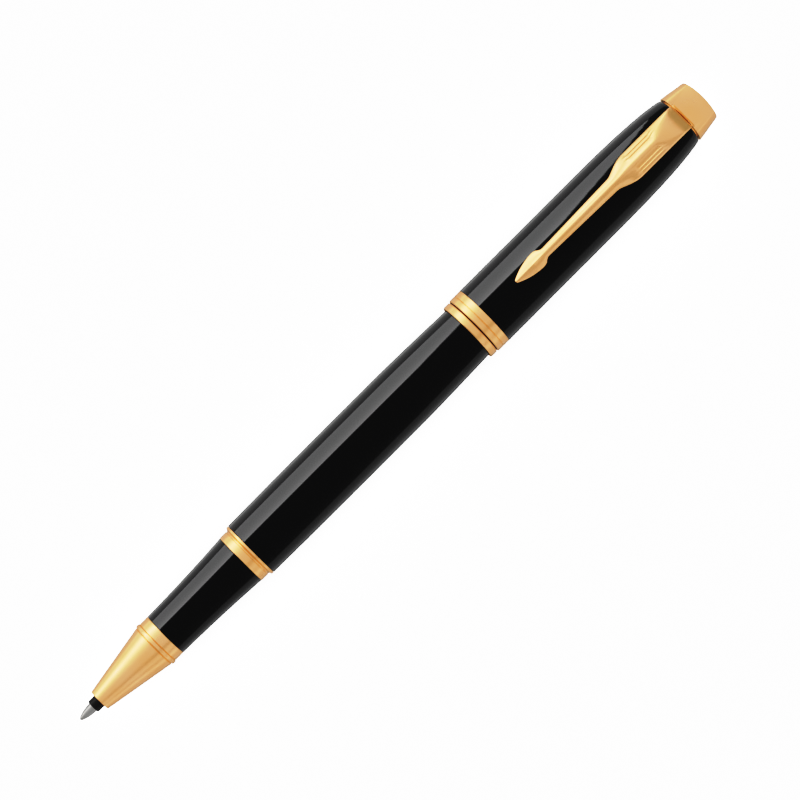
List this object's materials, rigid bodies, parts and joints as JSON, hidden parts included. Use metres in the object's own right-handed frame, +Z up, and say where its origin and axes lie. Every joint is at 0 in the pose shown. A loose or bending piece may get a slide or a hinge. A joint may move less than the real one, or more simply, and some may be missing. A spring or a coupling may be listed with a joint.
{
  "type": "rollerball pen",
  "caption": "Slim rollerball pen with a screw-in section, a sprung refill and a posted pull-off cap with a spring clip.",
  "frame": {"origin": "on the surface that the pen lies on, under the middle of its length and width", "axes": "+X along the pen from the writing point to the cap's finial, +Y across it, +Z up through the clip"},
  "size_m": [0.1559, 0.0124, 0.0149],
  "materials": {
    "black_lacquer": "glossy black lacquer over brass",
    "gold_trim": "polished gold plate",
    "turned_brass": "turned bare brass",
    "point_steel": "turned nickel silver",
    "ball_carbide": "polished carbide",
    "tube_steel": "drawn steel",
    "spring_steel": "drawn spring wire",
    "collar_plastic": "moulded dark brown plastic",
    "liner_plastic": "moulded black plastic",
    "ink_fibre": "fibre soaked in black ink"
  },
  "bodies": {
    "barrel": {"barrel_tube": "black_lacquer", "barrel_insert": "turned_brass", "spring_seat": "liner_plastic", "refill_spring": "spring_steel"},
    "section_collar": {"section_ring": "gold_trim"},
    "section": {"nose_cone": "gold_trim", "grip_sleeve": "black_lacquer", "section_core": "turned_brass"},
    "refill": {"refill_point": "point_steel", "refill_collar": "collar_plastic", "feed_rod": "ink_fibre", "refill_tube": "tube_steel", "ink_reservoir": "ink_fibre", "refill_end_plug": "collar_plastic"},
    "ball": {"writing_ball": "ball_carbide"},
    "cap_lip": {"cap_lip_ring": "gold_trim"},
    "cap": {"cap_band": "gold_trim", "cap_tube": "black_lacquer", "inner_cap": "liner_plastic", "clip_ring": "gold_trim", "finial": "gold_trim", "finial_screw": "turned_brass"},
    "clip_arm": {"clip": "gold_trim"}
  },
  "joints": [
    {"name": "section_advance", "type": "slide", "parent": "barrel", "child": "section_collar", "axis": [-1, 0, 0], "range_m": [0, 0.007]},
    {"name": "section_turn", "type": "hinge", "parent": "section_collar", "child": "section", "pos_m": [-0.04, 0, 0.0062], "axis": [-1, 0, 0], "range_deg": [0, 2520]},
    {"name": "refill_press", "type": "slide", "parent": "section", "child": "refill", "axis": [1, 0, 0], "range_m": [0, 0.0008], "stiffness_N_per_m": 400, "springref_m": -0.002, "deforming": ["refill_spring"]},
    {"name": "ball_roll", "type": "hinge", "parent": "refill", "child": "ball", "pos_m": [-0.0777, 0, 0.0062], "axis": [0, 1, 0], "continuous": true},
    {"name": "cap_pull", "type": "slide", "parent": "barrel", "child": "cap_lip", "axis": [1, 0, 0], "range_m": [0, 0.045]},
    {"name": "cap_twist", "type": "hinge", "parent": "cap_lip", "child": "cap", "pos_m": [0.045, 0, 0.0062], "axis": [1, 0, 0], "continuous": true},
    {"name": "clip_flex", "type": "hinge", "parent": "cap", "child": "clip_arm", "pos_m": [0.0724, 0, 0.01095], "axis": [0, 1, 0], "range_deg": [0, 4], "stiffness_Nm_per_rad": 1.2, "springref_deg": -1.15}
  ],
  "couplings": [
    {"joint": "section_turn", "follows": "section_advance", "rad_per_m": 6283.2}
  ]
}
